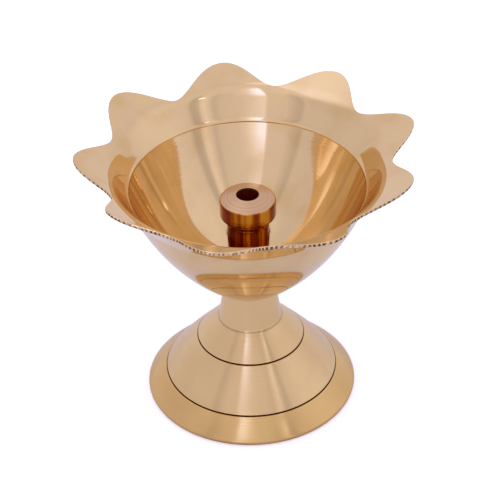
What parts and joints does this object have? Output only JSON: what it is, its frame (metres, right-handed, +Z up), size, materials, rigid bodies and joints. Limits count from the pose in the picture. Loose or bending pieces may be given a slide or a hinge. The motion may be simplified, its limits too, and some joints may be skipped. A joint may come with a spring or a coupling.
{
  "type": "diya oil lamp",
  "caption": "Brass lotus oil lamp: a petal-rimmed bowl on a turned, hollow pedestal foot, with a flanged, bored wick post that screws down through the bowl into the neck.",
  "frame": {"origin": "centre of the ring the foot stands on, at the bottom", "axes": "+Z up along the lamp's axis, -Y the side that faces the viewer"},
  "size_m": [0.0886, 0.0874, 0.0768],
  "materials": {
    "satin_brass": "turned and satin polished, fine rings round the axis",
    "polished_brass": "mirror polished inside and out, fine turning lines, petals' cut edges left filed",
    "machined_brass": "turned from bar, tool rings on the face",
    "vulcanised_fibre": "matt pressed fibre"
  },
  "bodies": {
    "foot": {"pedestal_foot": "satin_brass"},
    "bowl": {"petal_bowl": "polished_brass"},
    "washer": {"sealing_washer": "vulcanised_fibre"},
    "post": {"wick_post": "machined_brass"}
  },
  "joints": [
    {"name": "bowl_lift", "type": "slide", "parent": "foot", "child": "bowl", "axis": [0, 0, 1], "range_m": [0, 0.015]},
    {"name": "post_rise", "type": "slide", "parent": "bowl", "child": "washer", "axis": [0, 0, 1], "range_m": [0, 0.013]},
    {"name": "post_turn", "type": "hinge", "parent": "washer", "child": "post", "pos_m": [0, 0, 0.03605], "axis": [0, 0, 1], "range_deg": [0, 4680]}
  ],
  "couplings": [
    {"joint": "post_rise", "follows": "post_turn", "m_per_rad": 0.00015915}
  ]
}
